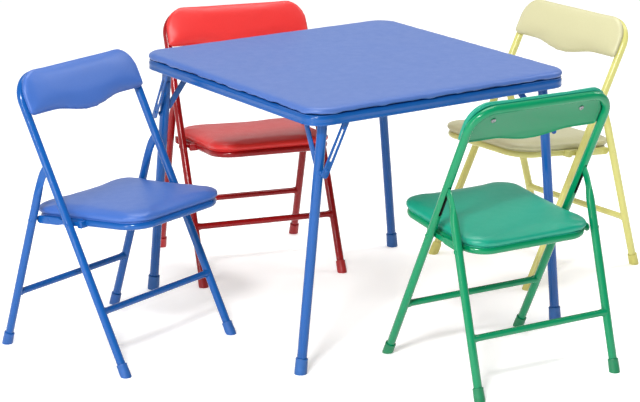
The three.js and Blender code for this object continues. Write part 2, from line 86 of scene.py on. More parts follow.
class Shader:
    """A Principled material being wired."""

    def __init__(self, name):
        self.material = bpy.data.materials.new(name)
        self.material.use_nodes = True
        self.tree = self.material.node_tree
        self.shader = self.tree.nodes["Principled BSDF"]
        self.point = self.add("ShaderNodeTexCoord").outputs["Object"]

    def add(self, kind, links=(), **values):
        """A new node with its sockets linked, and its settings or input values given by name."""
        node = self.tree.nodes.new(kind)
        for key, value in values.items():
            if hasattr(node, key):
                setattr(node, key, value)
            else:
                node.inputs[key.replace("_", " ").title()].default_value = value
        for socket, source in dict(links).items():
            self.tree.links.new(source, node.inputs[socket])
        return node

    def noise(self, scale, detail=3.0, stretch=None):
        point = self.point
        if stretch:
            mapping = self.add("ShaderNodeMapping", {"Vector": point}, scale=stretch)
            point = mapping.outputs["Vector"]
        return self.add("ShaderNodeTexNoise", {"Vector": point}, scale=scale, detail=detail).outputs["Fac"]

    def cells(self, scale):
        node = self.add("ShaderNodeTexVoronoi", {"Vector": self.point},
                        feature="DISTANCE_TO_EDGE", scale=scale)
        return node.outputs["Distance"]

    def spread(self, value, low, high, start=0.3, end=0.7):
        """From low to high while value runs from start to end."""
        node = self.add("ShaderNodeMapRange", {"Value": value})
        for key, number in (("From Min", start), ("From Max", end), ("To Min", low), ("To Max", high)):
            node.inputs[key].default_value = number
        return node.outputs["Result"]

    def blend(self, factor, a, b):
        """The mix of two colours, each a tuple or a socket."""
        node = self.add("ShaderNodeMix", data_type="RGBA")
        self.tree.links.new(factor, node.inputs[0])
        for index, value in ((6, a), (7, b)):
            if isinstance(value, tuple):
                node.inputs[index].default_value = value
            else:
                self.tree.links.new(value, node.inputs[index])
        return node.outputs[2]

    def bump(self, height, distance, strength=1.0, under=None):
        """A normal raised by height, over another normal if one is given."""
        node = self.add("ShaderNodeBump", {"Height": height})
        node.inputs["Distance"].default_value = distance
        node.inputs["Strength"].default_value = strength
        if under is not None:
            self.tree.links.new(under, node.inputs["Normal"])
        return node.outputs["Normal"]

    def finish(self, colour, roughness, normal, **constants):
        for socket, source in (("Base Color", colour), ("Roughness", roughness), ("Normal", normal)):
            self.tree.links.new(source, self.shader.inputs[socket])
        for key, value in constants.items():
            self.shader.inputs[key.replace("_", " ")].default_value = value
        return self.material


def paint_material(name, rgb):
    """Baked enamel on steel: a fine orange peel, faint clouding and a few rubbed specks."""
    s = Shader(name)
    cloud = s.blend(s.spread(s.noise(14), 0, 1), linear(rgb, 0.97), linear(rgb, 1.03))
    specks = s.spread(s.noise(520, 2), 0, 0.3, 0.72, 0.8)
    colour = s.blend(specks, cloud, linear(rgb, 1.2))
    peel = s.bump(s.noise(420, 2), 0.00008, 0.4)
    grain = s.bump(s.noise(2200, 1), 0.00002, 0.3, peel)
    return s.finish(colour, s.spread(s.noise(45, 4), 0.13, 0.21), grain, Specular_IOR_Level=0.38)


def vinyl_material(name, rgb):
    """Embossed vinyl: pebble grain with painted shade in its grooves, soft creasing and a satin surface that
    is a little uneven.
    """
    s = Shader(name)
    tone = s.blend(s.spread(s.noise(9, 3), 0, 1), linear(rgb, 0.985), linear(rgb, 1.015))
    pebbles = s.cells(PEBBLE_SCALE)
    # Painted shade: the grooves between the pebbles are darkened.
    groove_shade = s.spread(pebbles, 0.3, 0, 0.0, 0.12)
    colour = s.blend(groove_shade, tone, linear(rgb, 0.72))
    pebble = s.bump(pebbles, 0.00035, 0.35)
    fine = s.bump(s.noise(1900, 2), 0.00004, 0.5, pebble)
    soft = s.bump(s.noise(30, 2), 0.0002, 0.2, fine)
    return s.finish(colour, s.spread(s.noise(60, 4), 0.38, 0.43), soft, Specular_IOR_Level=0.48)


def cap_material(name, rgb):
    """Moulded plastic end cap with a faint haze and scattered scuffs."""
    s = Shader(name)
    tone = s.blend(s.spread(s.noise(60, 4), 0, 1), linear(rgb, 0.88), linear(rgb, 1.1))
    normal = s.bump(s.noise(900, 3), 0.00008, 0.6)
    return s.finish(tone, s.spread(s.noise(160, 3), 0.38, 0.6), normal)


def board_material(name):
    """Hardboard: pressed brown fibre."""
    s = Shader(name)
    fibre = s.noise(240, 6, (1.0, 0.25, 1.0))
    tone = s.blend(s.spread(fibre, 0, 1), linear(BOARD_BROWN, 0.72), linear(BOARD_BROWN, 1.2))
    flecks = s.blend(s.spread(s.noise(700, 2), 0, 0.6, 0.62, 0.75), tone, linear(BOARD_BROWN, 0.45))
    normal = s.bump(fibre, 0.0003, 0.5)
    return s.finish(flecks, s.spread(s.noise(90), 0.6, 0.82), normal)


def zinc_material(name):
    """Zinc-plated screws, lightly brushed and dulled."""
    s = Shader(name)
    tone = s.blend(s.spread(s.noise(500, 3), 0, 1), linear(ZINC_GREY, 0.75), linear(ZINC_GREY, 1.05))
    normal = s.bump(s.noise(1600, 2), 0.00003, 0.6)
    return s.finish(tone, s.spread(s.noise(300), 0.22, 0.42), normal, Metallic=1.0)


def slot_shade_material(name):
    """Painted shade: near black with a faint mottle, for the slots' walls where the tube's hollow lies in
    shadow.
    """
    s = Shader(name)
    tone = s.blend(s.noise(300), linear(SLOT_SHADE_RGB), linear(SLOT_SHADE_RGB, 2.0))
    return s.finish(tone, s.spread(s.noise(200), 0.7, 0.9), s.bump(s.noise(600), 0.0001))


SLOT_KINDS = {"paint": paint_material, "vinyl": vinyl_material, "cap": cap_material}
MATERIALS = {
    f"{owner}_{kind}": SLOT_KINDS[kind](f"{owner}_{kind}", rgb)
    for owner, colours in COLOURS.items()
    for kind, rgb in colours.items()
}
MATERIALS["board"] = board_material("board_fibre")
MATERIALS["zinc"] = zinc_material("zinc_plate")
# Painted shade for the slots cut into the hoops.
PAINTED_SLOT_SHADE = slot_shade_material("slot_painted_shade")


# ------------------------------------------------------------------ outlines

def rounded(corners, step=3.0):
    """A closed outline through (x, y, radius) corners, anticlockwise, in points about step apart."""
    points = []
    count = len(corners)
    for i, (x, y, r) in enumerate(corners):
        here = np.array([x, y], float)
        back = np.array(corners[i - 1][:2], float) - here
        on = np.array(corners[(i + 1) % count][:2], float) - here
        back /= np.linalg.norm(back)
        on /= np.linalg.norm(on)
        half = math.acos(max(-1.0, min(1.0, float(back @ on)))) / 2
        reach = r / math.tan(half)
        middle = here + (back + on) / np.linalg.norm(back + on) * (r / math.sin(half))
        first, last = here + back * reach - middle, here + on * reach - middle
        start = math.atan2(first[1], first[0])
        turn = (math.atan2(last[1], last[0]) - start + math.pi) % TAU - math.pi
        steps = max(3, round(abs(turn) * r / step))
        for k in range(steps + 1):
            angle = start + turn * k / steps
            points.append(middle + r * np.array([math.cos(angle), math.sin(angle)]))
    return resample(np.array(points), step)


def resample(points, step):
    """The same closed outline with its long straight runs cut into pieces no longer than step."""
    out = []
    for a, b in zip(points, np.roll(points, -1, 0)):
        pieces = max(1, math.ceil(np.linalg.norm(b - a) / step))
        out += [a + (b - a) * k / pieces for k in range(pieces)]
    return np.array(out)


def even(points, count):
    """A closed outline as count points evenly apart, from its point furthest along +X."""
    points = np.roll(points, -int(np.argmax(points[:, 0])), 0)
    loop = np.vstack([points, points[:1]])
    run = np.concatenate([[0], np.cumsum(np.linalg.norm(np.diff(loop, axis=0), axis=1))])
    at = np.linspace(0, run[-1], count, endpoint=False)
    return np.stack([np.interp(at, run, loop[:, k]) for k in range(2)], 1)


def outward(points):
    """The unit normals of a closed anticlockwise outline."""
    along = np.roll(points, -1, 0) - np.roll(points, 1, 0)
    normal = np.stack([along[:, 1], -along[:, 0]], 1)
    return normal / np.linalg.norm(normal, axis=1)[:, None]


def grown(points, by):
    return points + outward(points) * by


def smoothstep(t):
    """From 0 to 1 while t does, with soft ends."""
    t = np.clip(t, 0, 1)
    return t * t * (3 - 2 * t)


def square(half, radius, step):
    return rounded([(x * half, y * half, radius) for x, y in ((1, -1), (1, 1), (-1, 1), (-1, -1))], step)


def stadium(start, end, start_half, end_half, count=40):
    """A strip's outline along +X with round ends of two sizes."""
    turn = np.linspace(-math.pi / 2, math.pi / 2, count // 2)
    head = np.stack([end + end_half * np.cos(turn), end_half * np.sin(turn)], 1)
    tail = np.stack([start - start_half * np.cos(turn), -start_half * np.sin(turn)], 1)
    return np.vstack([head, tail])


# ------------------------------------------------------------------ solids as (points, faces)

def skin(rings, loop=False):
    """The surface over rings of equally many points: closed at both ends, or looped from last to first."""
    count = len(rings[0])
    points = np.vstack(rings)
    faces = []
    for i in range(len(rings) if loop else len(rings) - 1):
        a, b = i * count, (i + 1) % len(rings) * count
        faces += [(a + j, a + (j + 1) % count, b + (j + 1) % count, b + j) for j in range(count)]
    if not loop:
        top = (len(rings) - 1) * count
        faces += [tuple(reversed(range(count))), tuple(range(top, top + count))]
    return points, faces


def level(outline, z):
    """A flat outline lifted to a height."""
    return np.column_stack([outline, np.full(len(outline), z)])


def slab(outline, bottom, top, edge, hole=None):
    """A flat plate with softened edges, and one hole if its outline has as many points."""
    quarter = [(edge * (1 - math.sin(a)), edge * (1 - math.cos(a))) for a in np.linspace(0, math.pi / 2, 4)]
    low = [(inset, bottom + rise) for inset, rise in quarter]
    high = [(inset, top - rise) for inset, rise in reversed(quarter)]
    outer = [level(grown(outline, -inset), z) for inset, z in low + high]
    if hole is None:
        return skin(outer)
    inner = [level(grown(hole, inset), z) for inset, z in reversed(low + high)]
    return skin(outer + inner, loop=True)


def sweep(path, radius, side, closed=False, sides=20, ends=1.2):
    """A tube along a path, open ends rounded over by ends. radius is one number, one per point,
    or a pair per point: along the side vector and across it."""
    path = np.array(path, float)
    count = len(path)
    radius = np.array(radius, float)
    size = np.broadcast_to(radius.reshape(-1, 1) if radius.ndim < 2 else radius, (count, 2))
    ahead = np.roll(path, -1, 0) - np.roll(path, 1, 0)
    if not closed:
        ahead[0], ahead[-1] = path[1] - path[0], path[-1] - path[-2]
    ahead /= np.linalg.norm(ahead, axis=1)[:, None]
    u = np.array(side, float) - ahead * (ahead @ np.array(side, float))[:, None]
    u /= np.linalg.norm(u, axis=1)[:, None]
    v = np.cross(ahead, u)
    turn = np.linspace(0, TAU, sides, endpoint=False)[:, None]
    rings = [
        path[i] + size[i, 0] * np.cos(turn) * u[i] + size[i, 1] * np.sin(turn) * v[i] for i in range(count)
    ]
    if closed:
        return skin(rings, loop=True)
    for index, sign in ((0, -1), (-1, 1)):
        centre, ring = path[index], rings[index]
        lips = [centre + (ring - centre) * (1 - ends * k / size[index].min()) + ahead[index] * sign * h
                for k, h in ((0.3, ends * 0.7), (1.0, ends))]
        rings = lips[::-1] + rings if sign < 0 else rings + lips
    return skin(rings)


def rod(a, b, radius):
    """A straight pin from a to b."""
    a, b = np.array(a, float), np.array(b, float)
    steep = abs((b - a)[2]) > 0.9 * np.linalg.norm(b - a)
    return sweep([a, b], radius, np.cross(b - a, (0, 1, 0) if steep else (0, 0, 1)), ends=0.6)


def flared(a, b, radius, flare, reach):
    """A level cross tube whose ends swell into weld beads by flare over about twice reach."""
    a, b = np.array(a, float), np.array(b, float)
    long = np.linalg.norm(b - a)
    at = [0, reach * 0.5, reach, reach * 1.35, reach * 1.7, reach * 2.2]
    grow = [flare, flare * 1.02, flare * 0.86, flare * 0.4, flare * 0.1, 0]
    places = [t / long for t in at] + [1 - t / long for t in reversed(at)]
    sizes = [radius + g for g in grow] + [radius + g for g in reversed(grow)]
    side = np.cross(b - a, (0, 0, 1))
    return sweep([a + (b - a) * t for t in places], sizes, side)


def around(radius, turn, z):
    """A level ring at the angles in turn; radius is one number or one per angle."""
    return level(np.column_stack([radius * np.cos(turn), radius * np.sin(turn)]), z)


def lathe(profile, sides):
    """A turned solid from (radius, height) pairs about the z axis."""
    turn = np.linspace(0, TAU, sides, endpoint=False)
    return skin([around(radius, turn, z) for radius, z in profile])


def dome(radius, height):
    """A rivet's head standing on z = 0, with a short skirt below."""
    quarter = np.linspace(0, math.pi / 2, 6)[:-1]
    profile = [(radius, -0.6)] + [(radius * math.cos(a), height * math.sin(a)) for a in quarter]
    return lathe(profile + [(radius * 0.08, height)], sides=20)


def screw_head(radius, height):
    """A pan head with a cross recess, standing on z = 0."""
    turn = np.linspace(0, TAU, 48, endpoint=False)
    rings = [around(radius * share, turn, z) for share, z in (
        (1, -0.8), (1, height * 0.35), (0.93, height * 0.75), (0.78, height))]
    cross = np.maximum(np.abs(np.cos(2 * turn)) ** 6, 0.28)
    rings += [around(radius * share * cross, turn, height - depth) for share, depth in (
        (0.56, 0.0), (0.5, 0.9), (0.3, 1.2))]
    return skin(rings)


def moved(solid, matrix):
    """A solid, or a list of them, carried by a 4 by 4 matrix."""
    if isinstance(solid, list):
        return [moved(s, matrix) for s in solid]
    points, faces = solid
    m = np.array(matrix, float)
    return points @ m[:3, :3].T + m[:3, 3], faces


def aimed(at, direction, up=(0, 0, 1)):
    """The matrix that turns the z axis to direction and moves the origin to at."""
    z = Vector(direction).normalized()
    x = Vector(up).cross(z)
    x = Vector((1, 0, 0)) if x.length < 1e-6 else x.normalized()
    m = Matrix((x, z.cross(x), z)).transposed().to_4x4()
    m.translation = Vector(at)
    return m


def basis(at, x, y, z):
    """The matrix with these axes and this origin."""
    m = Matrix((Vector(x), Vector(y), Vector(z))).transposed().to_4x4()
    m.translation = Vector(at)
    return m


# ------------------------------------------------------------------ pieces

# Edges sharper than this many degrees stay crisp, and a cushion's folds stay soft.
STEEL_EDGE = 35
CUSHION_EDGE = 80


def new_object(name, solids, place, smooth=STEEL_EDGE):
    """One mesh of several closed solids, given in millimetres and put where place says."""
    points, faces, base = [], [], 0
    for p, f in solids:
        points.append(p)
        faces += [tuple(i + base for i in face) for face in f]
        base += len(p)
    mesh = bpy.data.meshes.new(name)
    mesh.from_pydata(np.vstack(points).tolist(), [], faces)
    mesh.transform(place @ Matrix.Scale(MM, 4))
    bm = bmesh.new()
    bm.from_mesh(mesh)
    bmesh.ops.recalc_face_normals(bm, faces=bm.faces)
    bm.to_mesh(mesh)
    bm.free()
    mesh.shade_smooth()
    mesh.set_sharp_from_angle(angle=math.radians(smooth))
    made = bpy.data.objects.new(name, mesh)
    bpy.context.scene.collection.objects.link(made)
    return made


def piece(name, solids, place, body, slot, replaces=(), smooth=STEEL_EDGE):
    """A named piece that rides on a body, has a slot's finish and may stand for CAD nodes."""
    made = new_object(name, solids, place, smooth)
    made.data.materials.append(MATERIALS[slot])
    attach(made, body)
    if replaces:
        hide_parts(*replaces)
    return made


def applied(obj):
    """The object's mesh with its modifiers applied."""
    graph = bpy.context.evaluated_depsgraph_get()
    mesh = bpy.data.meshes.new_from_object(obj.evaluated_get(graph))
    old = obj.data
    obj.modifiers.clear()
    obj.data = mesh
    if old.users == 0:
        bpy.data.meshes.remove(old)
    return mesh


def cloud(mesh):
    """A mesh's points in metres."""
    co = np.zeros(len(mesh.vertices) * 3, np.float32)
    mesh.vertices.foreach_get("co", co)
    return co.reshape(-1, 3).astype(float)


CLOTH_FRAMES = 20
CLOTH_PRESSURE = 4.0
SMOOTH_ROUNDS = 7


def stuffed(name, solid, voxel, limit, pinned):
    """A pad's cover blown up as cloth over its board. Points for which pinned is true stay put,
    and none moves more than limit. Returns a solid in millimetres."""
    pad = new_object(name, [solid], Matrix.Identity(4))
    remesh = pad.modifiers.new("voxels", "REMESH")
    remesh.mode = "VOXEL"
    remesh.voxel_size = voxel * MM
    mesh = applied(pad)
    start = cloud(mesh)
    held = pinned(start / MM)
    group = pad.vertex_groups.new(name="held")
    group.add([int(i) for i in np.nonzero(held)[0]], 1.0, "REPLACE")
    cloth = pad.modifiers.new("cloth", "CLOTH")
    cloth.settings.vertex_group_mass = "held"
    cloth.settings.use_pressure = True
    cloth.settings.uniform_pressure_force = CLOTH_PRESSURE
    cloth.settings.effector_weights.gravity = 0
    scene = bpy.context.scene
    for step in range(CLOTH_FRAMES):
        scene.frame_set(step + 1)
    mesh = applied(pad)
    scene.frame_set(1)
    shift = cloud(mesh) - start
    far = np.linalg.norm(shift, axis=1)[:, None]
    shift *= np.minimum(1, limit * MM / np.maximum(far, 1e-9))
    shift[held] = 0
    mesh.vertices.foreach_set("co", (start + shift).astype(np.float32).ravel())
    pad.vertex_groups.clear()
    smooth = pad.modifiers.new("smooth", "SMOOTH")
    smooth.iterations = SMOOTH_ROUNDS
    smooth.factor = 0.5
    finer = pad.modifiers.new("finer", "SUBSURF")
    finer.levels = 1
    mesh = applied(pad)
    faces = [tuple(p.vertices) for p in mesh.polygons]
    points = cloud(mesh) / MM
    bpy.data.objects.remove(pad)
    return points, faces


# ------------------------------------------------------------------ the frame's places

joints = {j["name"]: j for j in frame["joints"]}
board_low, board_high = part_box("table_board")
middle = (board_low + board_high) / 2
TABLE_PLACE = Matrix.Translation((middle.x, middle.y, 0))

# The corners, as quarter turns of the front one.
QUARTERS = {
    name: Matrix.Rotation(turns * math.pi / 2, 4, "Z")
    for turns, name in enumerate(("front", "right", "back", "left"))
}
FRONT_IN = TABLE_PLACE.inverted()
# The front leg's hinge and brace pivot, seen from the table's centre.
leg_hinge = np.array(FRONT_IN @ Vector(joints["table_leg_front_fold"]["pos_m"])) / MM
brace_pivot = np.array(FRONT_IN @ Vector(joints["leg_brace_front_swing"]["pos_m"])) / MM

# How far the back frame leans, and how far its feet stand in front of the chair's middle.
LEAN = math.atan(0.5046)
FRONT_FOOT_Y = 153
# The seat's pivots lie on the centre lines of the hoop's tubes.
SEAT_PIVOT_Z = joints["blue_seat_fold"]["pos_m"][2] / MM
SEAT_PIVOT_Y = FRONT_FOOT_Y - SEAT_PIVOT_Z * math.tan(LEAN)


def chair_place(colour):
    """The chair's own frame: x to the sitter's right, y forward, origin on the floor."""
    joint = joints[f"{colour}_seat_fold"]
    right = Vector(joint["axis"]).normalized()
    forward = Vector((0, 0, 1)).cross(right)
    at = Vector(joint["pos_m"]) - forward * SEAT_PIVOT_Y * MM
    at.z = 0
    return basis(at, right, forward, (0, 0, 1))


# ------------------------------------------------------------------ table

APRON_HALF = 303
APRON_CORNER = 37
APRON_BOTTOM = 474.5
APRON_WALL = 2
PAD_HALF = 304.8
PAD_CORNER = 43
PAD_TOP = 508.3
SEAM_Z = 494.8
LIP_BOTTOM = 492.0
LIP_TOP = 493.7
LIP_OUTER_INSET = 4.6
LIP_INNER_INSET = 16.5
BOARD_HALF = 289
BOARD_CORNER = 26

# The waves in the pad's hem: (height, turns round the table, phase).
HEM_WAVES = [(0.5, 9, 0.6), (0.55, 23, 2.1), (0.55, 41, 0.0), (0.45, 67, 1.3)]
HEM_SWAY = 0.3
# Rings follow the edge up to HEM_WIDTH in, and over the next EASE_WIDTH turn into scaled copies of it.
HEM_WIDTH = 6
EASE_WIDTH = 24


def table_pad():
    """The padded top: a taut vinyl cover with a rolled, slightly uneven edge, tucked in at the seam."""
    count = 720
    edge = even(square(PAD_HALF, PAD_CORNER, 2), count)
    s = np.linspace(0, TAU, count, endpoint=False)
    wave = sum(height * np.sin(turns * s + phase) for height, turns, phase in HEM_WAVES)
    # The rolled edge: (inset, rise above the seam, share of the waves).
    roll = [
        (14.6, 2.8, 0.0), (14.0, 0.3, 0.0), (8.5, 0.1, 0.1), (6.4, 1.0, 0.5), (3.6, 1.8, 1.0),
        (1.2, 2.7, 1.0), (0.0, 4.5, 0.7), (0.15, 6.3, 0.4), (1.0, 8.6, 0.3), (2.7, 10.7, 0.22),
        (5.2, 12.1, 0.18), (8.5, 12.9, 0.14),
    ]
    # The flat top: (inset, sink below its level, share of the waves).
    top = [(14.0, 0.25, 0.1), (26.0, 0.1, 0.06), (60.0, 0.0, 0.0), (150.0, 0.0, 0.0), (260.0, 0.0, 0.0)]
    profile = [(inset, SEAM_Z + rise, share) for inset, rise, share in roll]
    profile += [(inset, PAD_TOP - sink, share) for inset, sink, share in top]
    normals = outward(edge)
    far = np.abs(edge).max(axis=1)[:, None]
    rings = []
    for inset, z, share in profile:
        ease = min(1.0, max(0.0, (inset - HEM_WIDTH) / EASE_WIDTH))
        flat = (edge - normals * inset) * (1 - ease) + edge * (1 - inset / far) * ease
        lift = wave * share
        rings.append(np.column_stack([flat - normals * (lift * HEM_SWAY)[:, None], z + lift]))
    return skin(rings)


def apron():
    """Pressed steel rim: a rounded shoulder under the pad, a faintly bellied wall and a hemmed lower edge."""
    outer = even(square(APRON_HALF, APRON_CORNER, 2), 360)
    normals = outward(outer)
    # (inset, height above the lower edge): up the outside, over the shoulder and down the inside.
    profile = [
        (0.7, 0.4), (0.15, 1.4), (0.0, 2.9), (0.35, 4.5), (0.5, 6.3), (0.4, 9.0), (0.1, 11.7),
        (0.3, 13.9), (1.0, 15.9), (2.2, 17.7), (3.8, 18.9), (5.6, 19.5), (7.2, 19.7), (8.2, 19.4),
        (8.0, 18.5), (5.2, 17.9), (3.2, 16.3), (2.2, 13.0), (2.1, 6.5), (2.6, 4.1), (3.0, 2.1),
        (2.6, 0.5), (1.7, 0.0),
    ]
    wall = skin([level(outer - normals * inset, APRON_BOTTOM + rise) for inset, rise in profile], loop=True)
    lip_outer = outer - normals * LIP_OUTER_INSET
    lip_inner = outer * (1 - LIP_INNER_INSET / APRON_HALF)
    lip = skin([level(lip_outer, LIP_BOTTOM), level(lip_outer, LIP_TOP), level(lip_inner, LIP_TOP),
                level(lip_inner, LIP_BOTTOM)], loop=True)
    return [wall, lip]


LEG_R = 9.5
LEG_LEAN = math.radians(6.35)
LEG_SPLAY = math.radians(1.03)
LEG_DOWN = np.array([-math.tan(LEG_LEAN), -math.tan(LEG_SPLAY), -1.0])
LEG_DOWN /= np.linalg.norm(LEG_DOWN)
# How far down the leg its side rivet and the feet of its strap and its brace sit.
RIVET_DROP = 34
GUSSET_DROP = 86
BRACE_DROP = 100
# The strap's eye and the ear outside it, along the hinge line from the leg's middle.
EYE_Y = 65
EYE_EAR_Y = 69
PIN_R = 3
EAR_HALF = 10
EAR_DROP = 8
EAR_THICK = 2
EAR_GAP = 0.7
PLATE_LONG = 116
PLATE_WIDE = 58


def ear(x, y, z, facing):
    """A folded tab with a round lower end that holds a pin; it hangs from the corner plate."""
    top = LIP_BOTTOM + 1 - z
    outline = rounded([(EAR_HALF, -EAR_DROP, 7.5), (EAR_HALF, top, 1), (-EAR_HALF, top, 1),
                       (-EAR_HALF, -EAR_DROP, 7.5)], 1.5)
    return moved(slab(outline, 0, EAR_THICK, 0.3), basis((x, y, z), (1, 0, 0), (0, 0, 1), (0, -facing, 0)))


def corner_hardware():
    """The front corner's plate and rib, its ears and pins, and the brace's stud."""
    wall = -APRON_HALF + APRON_WALL
    side, reach = wall + PLATE_WIDE, wall + PLATE_LONG
    plate = slab(rounded([(wall, wall, 33), (side, wall, 3), (side, reach, 9), (wall, reach, 3)], 3),
                 LIP_BOTTOM, LIP_TOP, 0.3)
    rib = sweep([(wall + 14, wall + 46, LIP_BOTTOM), (wall + 14, reach - 12, LIP_BOTTOM)],
                [[1.8, 4], [1.8, 4]], (0, 0, 1), sides=16)

    hx, hy, hz = leg_hinge
    cheek = LEG_R + EAR_GAP
    ears = [ear(hx, hy + cheek, hz, -1), ear(hx, hy - cheek, hz, 1), ear(hx, hy + EYE_EAR_Y, hz, -1)]
    face = cheek + EAR_THICK
    pin = rod((hx, hy - face - 0.9, hz), (hx, hy + face + 0.9, hz), PIN_R)
    heads = [moved(dome(5, 2), aimed((hx, hy + sign * face, hz), (0, sign, 0))) for sign in SIDES]
    outside = hy + EYE_EAR_Y + EAR_THICK
    far_pin = rod((hx, hy + EYE_Y - 2, hz), (hx, outside + 0.5, hz), PIN_R)
    far_head = moved(dome(4.6, 1.8), aimed((hx, outside, hz), (0, 1, 0)))

    bx, by, bz = brace_pivot
    stud = rod((bx, wall, bz), (bx, by + 2.5, bz), PIN_R)
    cap = moved(dome(4.8, 1.8), aimed((bx, by + 1.8, bz), (0, 1, 0)))
    return [plate, rib, *ears, pin, *heads, far_pin, far_head, stud, cap]


def on_leg(distance):
    return leg_hinge + LEG_DOWN * distance


def leg_tube():
    """The leg from its head on the hinge line down into its cap, and its rivets."""
    end = leg_hinge[2] / -LEG_DOWN[2] - 7
    # The rings below the head keep the shading of its rounded end short.
    tube = sweep([on_leg(t) for t in (-3.6, 10, 22, RIVET_DROP, end)], LEG_R, (0, 1, 0), sides=28)
    foot = on_leg(BRACE_DROP)
    rivet = moved(dome(4.4, 2.6), aimed(foot - (0, LEG_R + 1.2, 0), (0, -1, 0)))
    collar = rod(foot - (0, LEG_R + 1.6, 0), foot, 5)
    side = moved(dome(4.2, 2.6), aimed(on_leg(RIVET_DROP) + (LEG_R - 0.4, 0, 0), (1, 0, 0.1)))
    return [tube, rivet, collar, side]


STRIP_HALF_THICK = 1.25
BRACE_LENGTH = 113.5
# The ends of the brace's slot, from the strip's upper and lower end.
SLOT_FROM_TOP = 27
SLOT_FROM_FOOT = 28


def brace_strip():
    """The slotted steel strip from the apron to the leg, in the fold plane."""
    outline = stadium(0, BRACE_LENGTH, 7.0, 7.6, 56)
    slot = stadium(SLOT_FROM_TOP, BRACE_LENGTH - SLOT_FROM_FOOT, 2.5, 2.5, 56)
    body = slab(outline, -STRIP_HALF_THICK, STRIP_HALF_THICK, 0.45, slot)
    bead = moved(dome(4.2, 2.2), aimed((BRACE_LENGTH - 7.5, 0, 1.0), (0, 0, 1)))
    drop = on_leg(BRACE_DROP) - brace_pivot
    along = Vector((drop[0], 0, drop[2])).normalized()
    across = Vector((0, -1, 0)).cross(along)
    return moved([body, bead], basis(brace_pivot, along, across, (0, -1, 0)))


def gusset_strip():
    """The thin strap on the leg's other side, up to its second eye on the hinge line."""
    eye = leg_hinge + (0, EYE_Y, 0)
    start = on_leg(GUSSET_DROP) + (0, LEG_R + 0.8, 0)
    along = Vector(eye - (0, 5, 9) - start)
    thin = along.cross(Vector(LEG_DOWN)).normalized()
    place = basis(start, along.normalized(), thin.cross(along.normalized()), thin)
    band = slab(stadium(0, along.length, 6.5, 6.5), -STRIP_HALF_THICK, STRIP_HALF_THICK, 0.4)
    plate = rod(eye - (0, 1.5, 0), eye + (0, 1.5, 0), 9)
    weld = moved(dome(5, 2.2), aimed(start + np.array(thin), thin))
    return [moved(band, place), plate, weld]


def foot_cap(outer, tube, height, lean):
    """A moulded cup over a tube's end, leaned by a matrix and trimmed flat where it meets the floor."""
    profile = [
        (outer * 0.3, -outer * 0.5), (outer * 0.8, -outer * 0.5), (outer * 0.97, -outer * 0.3), (outer, 0.5),
        (outer, height * 0.3), (outer * 0.985, height * 0.5), (outer * 0.96, height * 0.86),
        (outer * 0.985, height * 0.9), (outer * 0.985, height * 0.96), (outer * 0.93, height),
        (tube + 0.35, height), (tube + 0.3, height - 3), (tube * 0.6, height - 3.2),
    ]
    points, faces = moved(lathe(profile, 36), lean)
    points[:, 2] = np.maximum(points[:, 2], 0.0)
    return points, faces


def leaned_foot():
    """The leg cap's frame: z runs up the leaning leg from where it meets the floor."""
    z = -Vector(LEG_DOWN)
    x = Vector((0, 1, 0)).cross(z).normalized()
    return basis(on_leg(leg_hinge[2] / -LEG_DOWN[2]), x, z.cross(x), z)


def build_table():
    top = piece("table_pad", [table_pad()], TABLE_PLACE, "table", "table_vinyl", ["table_top"])
    piece("table_apron", apron(), TABLE_PLACE, "table", "table_paint", ["table_frame"])
    corners = [part for turn in QUARTERS.values() for part in moved(corner_hardware(), turn)]
    piece("table_corners", corners, TABLE_PLACE, "table", "table_paint")
    cap = foot_cap(12, LEG_R, 30, leaned_foot())
    for name, turn in QUARTERS.items():
        place = TABLE_PLACE @ turn
        leg = f"table_leg_{name}"
        brace = f"leg_brace_{name}"
        piece(f"leg_tube_{name}", leg_tube(), place, leg, "table_paint", [leg])
        piece(f"leg_strap_{name}", gusset_strip(), place, leg, "table_paint", [f"leg_gusset_{name}"])
        piece(f"leg_cap_{name}", [cap], place, leg, "table_cap", [f"table_foot_{name}"])
        piece(f"brace_strip_{name}", brace_strip(), place, brace, "table_paint", [brace])
    board = slab(square(BOARD_HALF, BOARD_CORNER, 6), SEAM_Z - 0.7, SEAM_Z + 2.4, 0.4)
    piece("table_underside", [board], TABLE_PLACE, "table", "board", ["table_board"])


# ------------------------------------------------------------------ chair

# Half the width between the tubes' centres, and the tubes' radius.
HALF = 154
TUBE = 8
REAR_FOOT_Y = -153
REAR_LEAN = math.atan(0.295)
# Up the back frame: the hoop's top, its bends, and where the rear legs' slots meet it.
TOP_ALONG = 591
TOP_BEND = 48
JOINT_ALONG = 414.3
SLOT_LOW = JOINT_ALONG - 60
SLOT_HIGH = JOINT_ALONG + 10
SLOT_HALF = 3.3
# Tubes end this far above the floor, inside their caps.
TUBE_FOOT = 9
FRONT_BAR_Z = 114
REAR_BAR_Z = 109
BAR_R = 6.5
BAR_INSET = 3
BEAD_SWELL = 1.3
BEAD_REACH = 6.5
# The inner face of the seat's side plates, their thickness, and how far their lugs reach out and in.
PLATE_X = 141.8
PLATE_THICK = 3
LUG_OUT = 3.4
LUG_IN = 19
# The bosses that join them to the seat's ring.
BOSS_FROM = 121
BOSS_TO = 143
BACK_UP = np.array([0, -math.sin(LEAN), math.cos(LEAN)])
BACK_FORE = np.array([0, math.cos(LEAN), math.sin(LEAN)])
# x across, y up the back frame, z away from the sitter.
BACK_PLACE = basis((0, FRONT_FOOT_Y, 0), (1, 0, 0), BACK_UP, -BACK_FORE)


def on_back(x, along):
    return np.array([x, FRONT_FOOT_Y, 0]) + BACK_UP * along


def on_rear(side, z):
    return np.array([side * HALF, REAR_FOOT_Y + z * math.tan(REAR_LEAN), z])


def arc(centre, radius, start, end, steps):
    return [(centre[0] + radius * math.cos(a), centre[1] + radius * math.sin(a))
            for a in np.linspace(start, end, steps)]


def stretcher(left, right):
    """A cross bar between two legs' centres, with weld beads where it meets their tubes."""
    return flared(left + (BAR_INSET, 0, 0), right - (BAR_INSET, 0, 0), BAR_R, BEAD_SWELL, BEAD_REACH)


